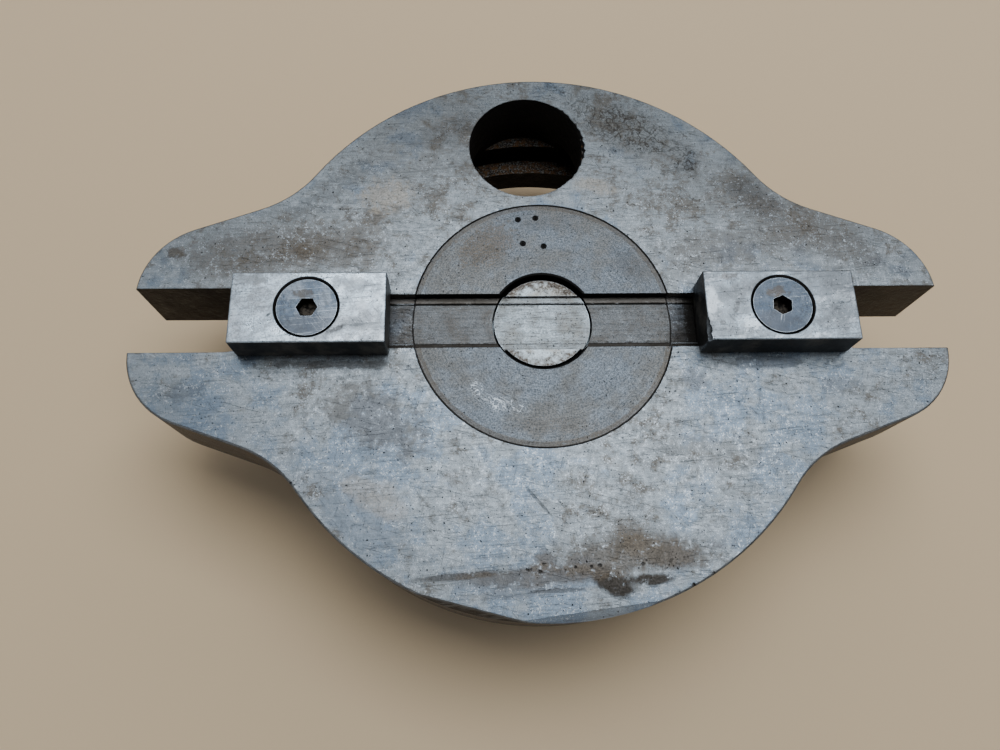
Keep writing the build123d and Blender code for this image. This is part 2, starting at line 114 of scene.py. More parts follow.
class Surface:
    """A finish built from nodes. Its fields are in mm in the part's frame, at rest."""

    def __init__(self, name):
        self.material = bpy.data.materials.new(name)
        self.material.use_nodes = True
        self.tree = self.material.node_tree
        self.shader = self.tree.nodes["Principled BSDF"]
        self.place = self.scaled(self.node("ShaderNodeTexCoord").outputs["Object"], 1 / MM)
        split = self.node("ShaderNodeSeparateXYZ")
        self.put(split.inputs[0], self.place)
        self.x, self.y, self.z = (Field(self, split.outputs[axis]) for axis in "XYZ")
        geometry = self.node("ShaderNodeNewGeometry")
        self.normal = geometry.outputs["Normal"]
        facing = self.node("ShaderNodeSeparateXYZ")
        self.put(facing.inputs[0], geometry.outputs["True Normal"])
        self.up = Field(self, facing.outputs["Z"])
        self.height = None

    def node(self, kind, **settings):
        made = self.tree.nodes.new(kind)
        for key, value in settings.items():
            setattr(made, key, value)
        return made

    def put(self, socket, value):
        if isinstance(value, Field):
            value = value.socket
        if isinstance(value, bpy.types.NodeSocket):
            self.tree.links.new(value, socket)
        elif isinstance(value, tuple) and socket.type == "RGBA":
            socket.default_value = (*value, 1)
        else:
            socket.default_value = value

    def math(self, operation, *values):
        made = self.node("ShaderNodeMath", operation=operation)
        for socket, value in zip(made.inputs, values):
            self.put(socket, value)
        return Field(self, made.outputs[0])

    def scaled(self, vector, factor):
        made = self.node("ShaderNodeVectorMath", operation="SCALE")
        self.put(made.inputs[0], vector)
        self.put(made.inputs["Scale"], factor)
        return made.outputs[0]

    def moved(self, centre=(0, 0, 0), turn=0.0, size=(1, 1, 1)):
        """The surface's place measured from a centre, along turned axes, in units of size."""
        made = self.node("ShaderNodeMapping", vector_type="TEXTURE")
        self.put(made.inputs["Vector"], self.place)
        made.inputs["Location"].default_value = centre
        made.inputs["Rotation"].default_value = (0, 0, radians(turn))
        made.inputs["Scale"].default_value = size
        return made.outputs[0]

    def length(self, vector):
        made = self.node("ShaderNodeVectorMath", operation="LENGTH")
        self.put(made.inputs[0], vector)
        return Field(self, made.outputs["Value"])

    def from_axis(self, x=0.0, y=0.0):
        """Distance from an upright axis."""
        return self.length(self.moved((x, y, 0), 0, (1, 1, FAR)))

    def noise(self, size, detail=3.0, roughness=0.55, seed=0, at=None):
        """Cloudy noise about 0.5; its largest lumps are about size mm across."""
        made = self.node("ShaderNodeTexNoise")
        place = at or self.moved((41.7 * seed, 23.9 * seed, 57.1 * seed))
        self.put(made.inputs["Vector"], place)
        made.inputs["Scale"].default_value = 1 / size
        made.inputs["Detail"].default_value = detail
        made.inputs["Roughness"].default_value = roughness
        return Field(self, made.outputs["Fac"])

    def dots(self, spacing, radius, share, seed=0):
        """Specks of a radius, in a share of the cells of a random grid."""
        wobble = self.node("ShaderNodeTexNoise")
        self.put(wobble.inputs["Vector"], self.place)
        wobble.inputs["Scale"].default_value = 1 / (2.5 * radius)
        wobble.inputs["Detail"].default_value = 0
        uneven = self.node("ShaderNodeVectorMath", operation="ADD")
        self.put(uneven.inputs[0], self.moved((13.3 * seed, 0, 0)))
        self.put(uneven.inputs[1], self.scaled(wobble.outputs["Color"], 1.6 * radius))
        cells = self.node("ShaderNodeTexVoronoi")
        self.put(cells.inputs["Vector"], uneven.outputs[0])
        cells.inputs["Scale"].default_value = 1 / spacing
        chosen = self.node("ShaderNodeSeparateColor")
        self.put(chosen.inputs[0], cells.outputs["Color"])
        here = Field(self, chosen.outputs["Red"]).rise(1 - share, 1.02 - share)
        reach = radius / spacing
        return Field(self, cells.outputs["Distance"]).rise(reach, 0.45 * reach) * here

    def scratches(self, turn, length, width, amount, seed=0):
        """Thin straight marks along one direction, 1 on a mark."""
        along = self.moved((31.0 * seed, 17.0 * seed, 0), turn, (length, width, length))
        return self.noise(1.0, 0, 0.5, seed, along).rise(0.80 - amount, 0.86 - amount)

    def veins(self, size, width, seed=0):
        """Thin wandering lines, 1 on a line, in cells about size mm across."""
        wander = self.noise(size, 2, 0.6, seed)
        return abs(wander - 0.5).rise(width, 0.3 * width)

    def rings(self, pitch, x=0.0, y=0.0):
        """Turning marks round an upright axis, about 0.5."""
        spread = self.node("ShaderNodeCombineXYZ")
        self.put(spread.inputs["X"], self.from_axis(x, y))
        self.put(spread.inputs["Y"], self.x * RING_DRIFT)
        self.put(spread.inputs["Z"], self.y * RING_DRIFT)
        return self.noise(pitch, 2, 0.6, 0, spread.outputs[0])

    def blot(self, spot, uneven):
        """A stain's mask, 1 in its middle; uneven is the noise that frays its edge."""
        local = self.moved((spot["x"], spot["y"], 0), spot["turn"], (*spot["reach"], FAR))
        frayed = self.length(local) + (uneven - 0.5) * (FRAY * spot["ragged"])
        return frayed.rise(STAIN_END, STAIN_CORE) * spot["strength"]

    def mix(self, amount, under, over):
        made = self.node("ShaderNodeMix", data_type="RGBA")
        self.put(made.inputs["Factor"], amount)
        self.put(made.inputs[6], under)
        self.put(made.inputs[7], over)
        return made.outputs[2]

    def edges(self, radius, low=0.01, high=0.12):
        """1 on edges, from how far a rounded normal leans from the real one."""
        rounded = self.node("ShaderNodeBevel", samples=BEVEL_SAMPLES)
        rounded.inputs["Radius"].default_value = radius * MM
        lean = self.node("ShaderNodeVectorMath", operation="DOT_PRODUCT")
        self.put(lean.inputs[0], rounded.outputs[0])
        self.put(lean.inputs[1], self.normal)
        return (1 - Field(self, lean.outputs["Value"])).rise(low, high)

    def crevice_grime_and_shade(self, reach, low=0.35, high=0.85):
        """1 deep in corners, holes and seams, by ambient occlusion; colour darkened by it is
        painted shade as well as grime.
        """
        open_sky = self.node("ShaderNodeAmbientOcclusion", samples=SKY_SAMPLES)
        open_sky.inputs["Distance"].default_value = reach * MM
        return Field(self, open_sky.outputs["AO"]).rise(1 - low, 1 - high)

    def dent(self, field, depth):
        """Adds a field to the surface's relief; depth is in mm at 1."""
        step = field * depth
        self.height = step if self.height is None else self.height + step

    def finish(self, colour, metallic, roughness):
        self.put(self.shader.inputs["Base Color"], colour)
        self.put(self.shader.inputs["Metallic"], metallic)
        self.put(self.shader.inputs["Roughness"], roughness)
        if self.height is not None:
            bump = self.node("ShaderNodeBump")
            bump.inputs["Strength"].default_value = 1.0
            bump.inputs["Distance"].default_value = MM
            self.put(bump.inputs["Height"], self.height)
            self.put(self.shader.inputs["Normal"], bump.outputs[0])
        return self.material


# ------------------------------------------------------------------ camera, floor and light
# Solved from the photo: the camera's place in mm from the table face's middle, and its turn
SENSOR = 36.0
LENS = 28.3
CAMERA_PLACE = (-14.86, -66.61, 158.95)
CAMERA_TURN = (18.770, -1.541, -0.995)
# In m
FLOOR_REACH = 3.0
PAPER = (0.60, 0.45, 0.28, 1)
PAPER_ROUGHNESS = 0.75
SKY_COLOUR = (0.86, 0.92, 1.0, 1)
COOL_LAMP, WARM_LAMP, FILL_LAMP = (0.93, 0.97, 1.0), (1.0, 0.97, 0.93), (0.96, 0.98, 1.0)
# Name, place in m, size in m, power, colour
LAMPS = [
    ("overhead", (0.10, 0.28, 1.0), (0.9, 0.6), 9.8, COOL_LAMP),
    ("back", (0.1, 1.2, 0.80), (1.6, 0.6), 3.5, WARM_LAMP),
]
# These only show as reflections in the metal
FILLS = [
    ("front", (-0.1, -1.3, 0.62), (2.6, 0.7), 7.4, FILL_LAMP),
    ("left", (-1.35, 0.1, 0.62), (2.6, 0.7), 6.2, FILL_LAMP),
    ("right", (1.35, 0.1, 0.62), (2.6, 0.7), 6.2, FILL_LAMP),
]
# The sky's strength is the sum of two ramps, each along an axis: from, to, first, last
SKY = [("Y", -0.6, 0.5, 0.06, 0.20), ("Z", 0.45, 0.88, 0.30, 0.0)]


def add(data, name, location, rotation):
    made = bpy.data.objects.new(name, data)
    bpy.context.scene.collection.objects.link(made)
    made.location = location
    made.rotation_euler = rotation
    return made


def aim(location, target):
    return (Vector(target) - Vector(location)).to_track_quat("-Z", "Y").to_euler()


def camera():
    lens = bpy.data.cameras.new("camera")
    lens.sensor_width = SENSOR
    lens.lens = LENS
    x, y, z = CAMERA_PLACE
    place = Vector((x, y, z + FACE_Z)) * MM
    turn = [radians(angle) for angle in CAMERA_TURN]
    bpy.context.scene.camera = add(lens, "camera", place, turn)


def softbox(name, location, size, power, colour):
    lamp = bpy.data.lights.new(name, "AREA")
    lamp.shape = "RECTANGLE"
    lamp.size, lamp.size_y = size
    lamp.energy = power
    lamp.color = colour
    return add(lamp, name, location, aim(location, (0, 0, FACE_Z * MM)))


def studio():
    reach = FLOOR_REACH
    mesh = bpy.data.meshes.new("floor")
    corners = [(-reach, -reach, 0), (reach, -reach, 0), (reach, reach, 0), (-reach, reach, 0)]
    mesh.from_pydata(corners, [], [(0, 1, 2, 3)])
    floor = add(mesh, "floor", (0, 0, 0), (0, 0, 0))
    paper = bpy.data.materials.new("floor_paper")
    paper.use_nodes = True
    shader = paper.node_tree.nodes["Principled BSDF"]
    shader.inputs["Base Color"].default_value = PAPER
    shader.inputs["Roughness"].default_value = PAPER_ROUGHNESS
    mesh.materials.append(paper)
    for lamp in LAMPS:
        softbox(*lamp)
    for lamp in FILLS:
        softbox(*lamp).visible_diffuse = False
    world = bpy.data.worlds.new("studio")
    bpy.context.scene.world = world
    world.use_nodes = True
    nodes, links = world.node_tree.nodes, world.node_tree.links
    direction = nodes.new("ShaderNodeSeparateXYZ")
    links.new(nodes.new("ShaderNodeTexCoord").outputs["Generated"], direction.inputs[0])
    strength = nodes.new("ShaderNodeMath")
    for place, (axis, start, end, first, last) in enumerate(SKY):
        ramp = nodes.new("ShaderNodeMapRange")
        links.new(direction.outputs[axis], ramp.inputs["Value"])
        ramp.inputs["From Min"].default_value = start
        ramp.inputs["From Max"].default_value = end
        ramp.inputs["To Min"].default_value = first
        ramp.inputs["To Max"].default_value = last
        links.new(ramp.outputs[0], strength.inputs[place])
    sky = nodes["Background"]
    sky.inputs["Color"].default_value = SKY_COLOUR
    links.new(strength.outputs[0], sky.inputs["Strength"])


# ------------------------------------------------------------------ colours
BLUE_STEEL = (0.128, 0.165, 0.210)
PALE_STEEL = (0.185, 0.210, 0.230)
WARM_STEEL = (0.098, 0.095, 0.088)
DARK_METAL = (0.042, 0.041, 0.041)
BROWN = (0.060, 0.049, 0.037)
DIRT = (0.024, 0.020, 0.016)
TAN = (0.215, 0.195, 0.165)
UMBER = (0.076, 0.070, 0.062)
STEEL_BLUE = (0.085, 0.112, 0.150)
# Near black, for grime, pits and dark joints, and also for painted shade in gaps, hollows and on
# edges
GRIME_AND_SHADE = (0.008, 0.007, 0.006)
RUST = (0.11, 0.055, 0.024)
PALE = (0.49, 0.54, 0.59)
SILVER = (0.345, 0.412, 0.475)
SMEAR = (0.120, 0.132, 0.145)
BLUED = (0.062, 0.082, 0.112)
WEB_LINES = (0.016, 0.013, 0.010)
SLOT_WALL_DARK = (0.016, 0.012, 0.009)
ROLLED_STREAK = (0.16, 0.16, 0.155)
LEDGE_GLINT = (0.27, 0.265, 0.25)
DISC_RIM = (0.098, 0.082, 0.062)
VARNISH = (0.036, 0.023, 0.013)
DULL_SILVER = (0.208, 0.232, 0.256)
SCREW_RUBBED = (0.170, 0.190, 0.214)
SCREW_SHADE = (0.045, 0.050, 0.060)
RUBBED_OXIDE = (0.30, 0.30, 0.30)
BRONZE_SCRATCH = (0.10, 0.055, 0.025)
BRONZE_EDGE = (0.70, 0.50, 0.25)

# Pairs that the clouding mixes
BASE_GROOVE = ((0.058, 0.066, 0.078), (0.056, 0.054, 0.052))
DISC_GROOVE = ((0.073, 0.078, 0.083), (0.066, 0.064, 0.061))
PIN_GROOVE = ((0.180, 0.210, 0.232), (0.132, 0.136, 0.132))
CAST_SKIN = ((0.031, 0.028, 0.024), (0.074, 0.062, 0.050))
BEARING_RING = ((0.20, 0.205, 0.205), (0.085, 0.075, 0.062))
ROLLED_EDGE = ((0.030, 0.026, 0.022), (0.12, 0.13, 0.14))
# Painted shade for hollow walls, and brown oil for their ledges
HOLLOW_SHADE_AND_OIL = ((0.005, 0.004, 0.0035), (0.075, 0.038, 0.014))
DISC_FACE = ((0.083, 0.097, 0.114), (0.083, 0.085, 0.085))
PIN_END = ((0.27, 0.315, 0.345), (0.23, 0.23, 0.215))
BLOCK_SIDE = ((0.036, 0.036, 0.036), (0.075, 0.070, 0.062))
SOCKET_SHADE_AND_DIRT = ((0.007, 0.006, 0.005), (0.085, 0.072, 0.058))
TURNED = ((0.24, 0.255, 0.265), (0.165, 0.15, 0.13))
OXIDE = ((0.050, 0.049, 0.048), (0.030, 0.024, 0.018))
BRONZE = ((0.46, 0.29, 0.12), (0.28, 0.165, 0.065))


def stain(x, y, reach, turn, ragged, strength, colour=None):
    """One stain: middle, half length and half width, turn, fray, strength and colour."""
    place = {"x": x, "y": y, "reach": reach, "turn": turn}
    return {**place, "ragged": ragged, "strength": strength, "colour": colour}


FACE_STAINS = [
    stain(14.0, -50.8, (20.0, 4.6), 2, 0.7, 0.78, BROWN),
    stain(22.0, -49.6, (13.0, 3.6), -18, 0.8, 0.6, BROWN),
    stain(16.0, -46.0, (3.4, 4.6), 12, 0.8, 0.5, BROWN),
    stain(12.1, -56.2, (5.4, 2.3), -18, 0.4, 0.97, DIRT),
    stain(19.4, -55.5, (6.0, 1.3), 2, 0.5, 0.95, DIRT),
    stain(-19.0, -54.4, (11.0, 0.9), 4, 0.4, 0.85, DARK_METAL),
    stain(-3.0, -54.6, (17.0, 2.4), 2, 0.5, 0.72, BROWN),
    stain(-8.0, -57.6, (10.0, 1.4), 4, 0.6, 0.35, BROWN),
    stain(-56.0, 19.0, (30.0, 11.0), 9, 0.5, 0.32, UMBER),
    stain(-27.0, 46.0, (20.0, 12.0), 38, 0.6, 0.40, UMBER),
    stain(60.0, 25.0, (28.0, 11.0), -26, 0.5, 0.45, UMBER),
    stain(38.0, 14.0, (18.0, 8.0), 0, 0.6, 0.30, UMBER),
    stain(26.0, 46.5, (21.0, 7.0), -28, 0.6, 0.42, UMBER),
    stain(-74.0, -22.0, (12.0, 8.0), -25, 0.5, 0.45, STEEL_BLUE),
    stain(-48.0, -32.0, (10.0, 6.0), -30, 0.6, 0.30, STEEL_BLUE),
    stain(-38.0, -43.5, (13.0, 6.0), -38, 0.5, 0.55, STEEL_BLUE),
    stain(2.0, -57.3, (7.5, 0.5), 2, 0.5, 0.7, DARK_METAL),
    stain(-44.0, -10.0, (17.0, 1.1), 0, 0.9, 0.75, DARK_METAL),
    stain(48.0, -10.2, (17.0, 1.4), 0, 0.9, 0.6, DARK_METAL),
    stain(-36.0, -22.0, (13.0, 7.0), -28, 0.8, 0.58, BROWN),
    stain(-36.0, -38.0, (7.0, 3.5), -30, 0.9, 0.5, TAN),
    stain(-76.0, -15.5, (6.5, 3.0), 10, 0.8, 0.4, DARK_METAL),
    stain(-81.3, 16.7, (2.2, 1.6), -20, 0.6, 0.75, BROWN),
    stain(-65.0, 16.5, (16.0, 5.6), 10, 0.8, 0.55, BROWN),
    stain(-46.0, 17.0, (13.0, 6.0), 8, 0.8, 0.55, BROWN),
    stain(-38.0, 25.5, (3.6, 2.2), 20, 0.7, 0.7, BROWN),
    stain(-53.0, 17.0, (2.6, 1.8), -30, 0.7, 0.65, BROWN),
    stain(-34.7, 31.5, (6.5, 5.0), 0, 0.7, 0.65, TAN),
    stain(-48.0, 33.0, (12.0, 3.6), 38, 0.8, 0.4, DARK_METAL),
    stain(-20.0, 49.0, (11.0, 4.0), 22, 0.8, 0.32, DARK_METAL),
    stain(-25.0, 30.0, (4.0, 2.5), 50, 0.9, 0.45, BROWN),
    stain(49.5, 31.5, (9.0, 4.0), -42, 0.7, 0.55, DARK_METAL),
    stain(63.0, 22.0, (19.0, 6.0), -24, 0.8, 0.42, BROWN),
    stain(43.0, 18.0, (15.0, 5.0), 8, 0.9, 0.45, BROWN),
    stain(13.0, 34.0, (6.0, 2.2), -8, 0.9, 0.55, TAN),
    stain(37.0, -30.0, (15.0, 4.0), -6, 0.9, 0.30, BROWN),
    stain(66.0, -16.0, (9.0, 2.2), -8, 0.9, 0.40, BROWN),
    stain(31.0, -14.0, (4.0, 3.0), 0, 0.9, 0.42, BROWN),
]
WEB = stain(22.0, 49.5, (20.0, 5.5), -28, 0.7, 1.0)
BLOTS = stain(7.5, -52.8, (17.0, 1.5), 2, 0.4, 1.0)
SCORE = stain(-2.3, -39.8, (4.4, 0.35), -50, 0.3, 0.8)
DISC_STAINS = [
    stain(-12.0, 18.5, (7.5, 5.0), 35, 0.9, 0.72, BROWN),
    stain(20.0, 13.0, (6.0, 3.5), -40, 0.9, 0.5, DARK_METAL),
    stain(2.0, 24.5, (9.0, 2.5), 0, 0.9, 0.35, DARK_METAL),
    stain(3.0, -24.0, (14.0, 2.0), 0, 0.9, 0.22, BROWN),
]
SCUFFS = [
    stain(-14.8, -15.6, (1.6, 3.0), 20, 0.7, 1.0),
    stain(-8.5, -19.2, (5.5, 1.6), -20, 0.7, 0.9),
]
BLOCK_STAINS = {
    "tenon_block_left": [
        stain(-43.2, -4.9, (2.6, 0.6), 28, 0.6, 0.8, DARK_METAL),
        stain(-57.6, -1.8, (0.7, 0.35), 40, 0.4, 0.85, GRIME_AND_SHADE),
        stain(-62.5, 6.2, (5.0, 1.4), 0, 0.9, 0.5, BROWN),
        stain(-38.0, -4.0, (3.0, 2.6), 0, 0.9, 0.6, SMEAR),
        stain(-38.5, 0.0, (5.0, 8.0), 0, 0.8, 0.30, SMEAR),
        stain(-40.5, 5.6, (4.5, 1.6), -10, 0.9, 0.6, SMEAR),
    ],
    "tenon_block_right": [
        stain(40.4, -0.4, (0.7, 2.0), -24, 0.5, 0.75, DARK_METAL),
        stain(37.0, -4.1, (0.8, 0.6), 0, 0.4, 0.75, DARK_METAL),
        stain(39.5, 6.7, (2.6, 0.9), 0, 0.9, 0.7, BROWN),
        stain(35.2, 0.5, (1.4, 4.0), -6, 0.5, 0.55, PALE),
        stain(61.5, 1.0, (4.6, 6.5), 0, 0.8, 0.55, SMEAR),
        stain(44.0, 4.5, (4.0, 2.0), 0, 0.9, 0.5, SMEAR),
        stain(39.5, 1.5, (4.5, 7.0), 0, 0.8, 0.30, SMEAR),
    ],
}


# ------------------------------------------------------------------ finishes
def wear(s, seed=0):
    """Marks that every old steel face here has: clouding, specks, streaks, pits, scratches."""
    s.broad = s.noise(21, 3, 0.55, 1 + seed)
    s.cloud = s.noise(5.5, 5, 0.65, 2 + seed)
    s.mottle = s.noise(1.5, 4, 0.72, 3 + seed)
    s.grain = s.noise(0.40, 3, 0.75, 4 + seed)
    s.fine = s.grain * 1.4 + s.mottle * 0.6
    s.pits = s.dots(1.5, 0.20, 0.40, 1) | s.dots(0.7, 0.13, 0.40, 2)
    s.lines = s.scratches(5, 11, 0.10, 0.06, 1) | s.scratches(-52, 6, 0.10, 0.03, 2)
    s.lines = (s.lines | s.scratches(76, 5, 0.09, 0.035, 18)) * s.mottle.rise(0.38, 0.52)


def uneven(s, cloudy, mottled, grainy):
    """A factor about 1 that varies with the clouding, the mottle and the grain."""
    varied = (s.cloud - 0.5) * cloudy + (s.mottle - 0.5) * mottled + (s.grain - 0.5) * grainy
    return (varied + 1) | 0.15


def worked(s, colour, dark=0.5, pale=0.4):
    """Adds the fine dark specks and pale flecks of worn metal to a colour."""
    colour = s.mix(s.fine.rise(1.04, 1.24) * dark, colour, DARK_METAL)
    return s.mix(s.fine.rise(0.94, 0.76) * pale, colour, PALE)


def seam(s, colour):
    """The dark line where the disc meets its recess."""
    line = s.from_axis().band(DISC_R - 0.10, DISC_R + 0.22, 0.08)
    return s.mix(line * s.mottle.rise(0.25, 0.45) * 0.95, colour, GRIME_AND_SHADE)


def groove(s, colour, pair, grimy=1.0):
    """The tenon groove's floor: planed, with dirt and painted shadow along its lips, and dirt at
    its right end.
    """
    inside = abs(s.y).rise(GROOVE_HALF + 0.06, GROOVE_HALF) * s.z.rise(FACE_Z - 1.2, FACE_Z - 1.7)
    planed = s.noise(1.0, 2, 0.6, 6, s.moved((0, 0, 0), 0, (22, 0.5, 9)))
    tone = uneven(s, 1.0, 2.4, 6.5) + (planed - 0.5) * 0.8
    floor = s.scaled(s.mix(s.cloud.rise(0.38, 0.66), *pair), tone)
    floor = worked(s, floor, 0.6, 0.25)
    combed = s.noise(1.0, 3, 0.7, 17, s.moved((0, 0, 0), 0, (3.5, 0.35, 9)))
    floor = s.mix(combed.rise(0.52, 0.66) * 0.6, floor, DARK_METAL)
    ledge = abs(s.y).rise(RELIEF_HALF, RELIEF_HALF + 0.15)
    floor = s.mix(ledge * 0.55 * grimy, floor, BROWN)
    step = abs(s.y).band(RELIEF_HALF - 0.12, RELIEF_HALF + 0.16, 0.08)
    floor = s.mix(step * s.mottle.rise(0.30, 0.42) * 0.95, floor, GRIME_AND_SHADE)
    # Dirt and painted shadow: a near-black band along both lips, where the walls shade the floor,
    # and dirt on the near ledge
    low_lip = (s.y + (s.mottle - 0.5) * 3.5).rise(-RELIEF_HALF + 0.5, -RELIEF_HALF - 0.2)
    lip_grime_and_shadow = abs(s.y).rise(GROOVE_HALF - 0.55, GROOVE_HALF - 0.05) | low_lip * (grimy * 0.9)
    floor = s.mix(lip_grime_and_shadow * 0.93, floor, GRIME_AND_SHADE)
    oil = (s.x + (s.mottle + s.cloud - 1.0) * 7).rise(27.0, 33.0)
    grit = (s.x + (s.fine - 1.0) * 3).rise(31.2, 32.4)
    floor = s.mix((oil * 0.72) | (grit * 0.96), floor, GRIME_AND_SHADE)
    return s.mix(inside, colour, floor), inside, planed


def ground_casting(node):
    """The base: ground and stained on its face, cast skin on its sides, a turned ring below."""
    s = Surface(node)
    wear(s)
    face = s.up.rise(0.6, 0.85) * s.z.rise(FACE_Z - 3.2, FACE_Z - 3.0)
    frayed = s.noise(3.0, 5, 0.72, 8)
    streak = s.noise(1.0, 3, 0.65, 10, s.moved((0, 0, 0), 1, (8, 0.4, 8)))
    tone = s.broad * 0.5 + s.cloud * 0.5 + s.y * 0.0009
    colour = s.mix(tone.rise(0.41, 0.50), BLUE_STEEL, PALE_STEEL)
    colour = s.mix((tone * 0.6 + frayed * 0.4).rise(0.50, 0.60), colour, WARM_STEEL)
    # Painted shade: the face darker towards the back, to 0.62 of its colour at y = 70 mm, with
    # fewer pale flecks there
    shade = s.y.rise(70, 0) * 0.38 + 0.62
    stained = s.blot(WEB, s.cloud)
    for place, spot in enumerate(FACE_STAINS):
        mask = s.blot(spot, frayed if place % 2 else s.cloud) * s.mottle.rise(0.20, 0.46)
        colour = s.mix(mask, colour, spot["colour"])
        stained = stained | mask
    clean = (1 - stained).rise(0.15, 0.85)
    varied = uneven(s, 1.1, 2.8, 7.5) + (streak - 0.5) * 0.9 - 1
    colour = s.scaled(colour, (varied * (clean * 0.65 + 0.35) + 1) * shade)
    colour = s.mix(s.fine.rise(1.02, 1.20) * (clean * 0.6 + 0.15), colour, DARK_METAL)
    colour = s.mix(s.fine.rise(0.96, 0.80) * clean * (shade - 0.45), colour, PALE)
    web = s.veins(3.2, 0.034, 11) | s.veins(1.7, 0.030, 19) * 0.8 | s.mottle.rise(0.54, 0.66) * 0.6
    colour = s.mix(web * s.blot(WEB, s.cloud) * 0.75, colour, WEB_LINES)
    spots = s.dots(1.5, 0.52, 0.9, 6) * s.blot(BLOTS, s.cloud) | s.blot(SCORE, frayed) * 0.7
    colour = s.mix(spots * 0.85, colour, GRIME_AND_SHADE)
    lines = s.lines | s.scratches(-16, 9, 0.11, 0.04, 3) * s.cloud.rise(0.42, 0.52)
    colour = s.mix(lines * 0.55, colour, DARK_METAL)
    colour = s.mix(s.pits * 0.9, colour, GRIME_AND_SHADE)
    colour, inside, planed = groove(s, colour, BASE_GROOVE)
    flat = s.up.band(0.88, 0.92, 0.01) * s.z.rise(FACE_Z - 2.2, FACE_Z - 2.0)
    colour = s.mix(flat * s.z.rise(FACE_Z - 0.1, FACE_Z - 1.5) * 0.85, colour, DARK_METAL)

    cast = s.mix((s.cloud * 0.5 + s.mottle * 0.5).rise(0.36, 0.66), *CAST_SKIN)
    cast = s.mix(s.noise(9.0, 6, 0.7, 20).rise(0.50, 0.74) * 0.35, cast, RUST)
    cast = s.scaled(cast, uneven(s, 0.8, 2.0, 3.5))
    cast = worked(s, cast, 0.5, 0.12)
    radius = s.from_axis()
    turned = s.rings(0.35)
    bearing = s.mix(s.cloud.rise(0.45, 0.62), *BEARING_RING)
    bearing = s.scaled(bearing, turned * 1.1 + 0.4)
    under = s.up.rise(-0.6, -0.85) * s.z.rise(SWIVEL_Z + 0.6, SWIVEL_Z + 0.2)
    wall = s.mix(under, cast, bearing)
    # The ear slots' walls darker, the left slot's most
    slot = abs(s.y - SLOT_Y).rise(SLOT_HALF + 0.2, SLOT_HALF + 0.05)
    slot = slot * abs(s.x).rise(SLOT_START, SLOT_START + 2)
    far_slot = slot * s.x.rise(0, -20)
    wall = s.mix(slot * 0.45 | far_slot * 0.9, wall, SLOT_WALL_DARK)
    rolled = s.up.band(0.35, 0.80, 0.02) * s.z.rise(FACE_Z - 3.0, FACE_Z - 2.0)
    rolled_colour = s.mix(s.z.rise(FACE_Z - 0.9, FACE_Z - 0.1), *ROLLED_EDGE)
    rolled_colour = s.mix(streak.rise(0.50, 0.62) * 0.5, rolled_colour, ROLLED_STREAK)
    wall = s.mix(rolled * 0.9, wall, s.scaled(rolled_colour, uneven(s, 0.8, 1.6, 1.6)))

    in_hole = s.from_axis(ACCESS.x, ACCESS.y).rise(ACCESS_R + 0.95, ACCESS_R + 0.75)
    in_hole = in_hole * s.z.rise(FACE_Z - 0.02, FACE_Z - 0.2)
    in_slot = radius.band(T_SLOT_R - T_SLOT_HALF - 0.1, T_SLOT_R + T_SLOT_HALF + 0.1, 0.1)
    in_slot = in_slot * s.z.band(SWIVEL_Z + 0.3, FACE_Z - 12.0, 0.3)
    hollow = in_hole | in_slot
    # Oil and painted shade in the access hole and the T-slot: near-black walls as painted shade,
    # ledges mottled with brown oil
    ledge = s.up.rise(0.6, 0.9) * s.mottle.rise(0.42, 0.58)
    oil_and_shade = s.mix(ledge, *HOLLOW_SHADE_AND_OIL)
    oil_and_shade = s.scaled(oil_and_shade, uneven(s, 1.0, 2.0, 2.4))
    glint = s.fine.rise(0.98, 0.84) * s.up.rise(0.6, 0.9) * 0.6
    oil_and_shade = s.mix(glint, oil_and_shade, LEDGE_GLINT)
    wall = s.mix(hollow, wall, oil_and_shade)
    colour = s.mix(face * (1 - in_hole) * s.up.rise(0.96, 0.985) | flat, wall, colour)

    edge = s.edges(0.45) * (1 - hollow)
    # Painted reflection: a thin dark line along the face's top edge, as if the rounded edge
    # reflected dark surroundings; other edges get pale wear
    dark_edge_reflection = edge * s.z.rise(FACE_Z - 0.8, FACE_Z - 0.5)
    colour = s.mix(edge * (1 - dark_edge_reflection) * s.cloud.rise(0.44, 0.58) * 0.35, colour, PALE)
    colour = s.mix(dark_edge_reflection * s.mottle.rise(0.30, 0.44) * 0.75, colour, GRIME_AND_SHADE)
    # Painted shade and grime: darker where ambient occlusion finds corners, holes and seams
    dirt_and_shade = s.crevice_grime_and_shade(3.0) * (1 - inside * 0.5)
    colour = s.mix(dirt_and_shade * 0.9, colour, GRIME_AND_SHADE)
    colour = seam(s, colour)

    metallic = face * 0.22 + 0.72 - flat * 0.50
    rough = (s.cloud - 0.5) * 0.5 + (s.mottle - 0.5) * 0.4 + s.pits * 0.2 - face * 0.16 + 0.60
    s.dent(s.grain, 0.014)
    s.dent(s.mottle, 0.03)
    s.dent(s.pits * face, -0.07)
    s.dent(lines * face, -0.03)
    s.dent(spots * face, -0.06)
    s.dent(frayed * (1 - face), 0.40)
    s.dent(s.mottle * (1 - face), 0.12)
    s.dent(planed * inside, 0.03)
    return s.finish(colour, metallic, rough)


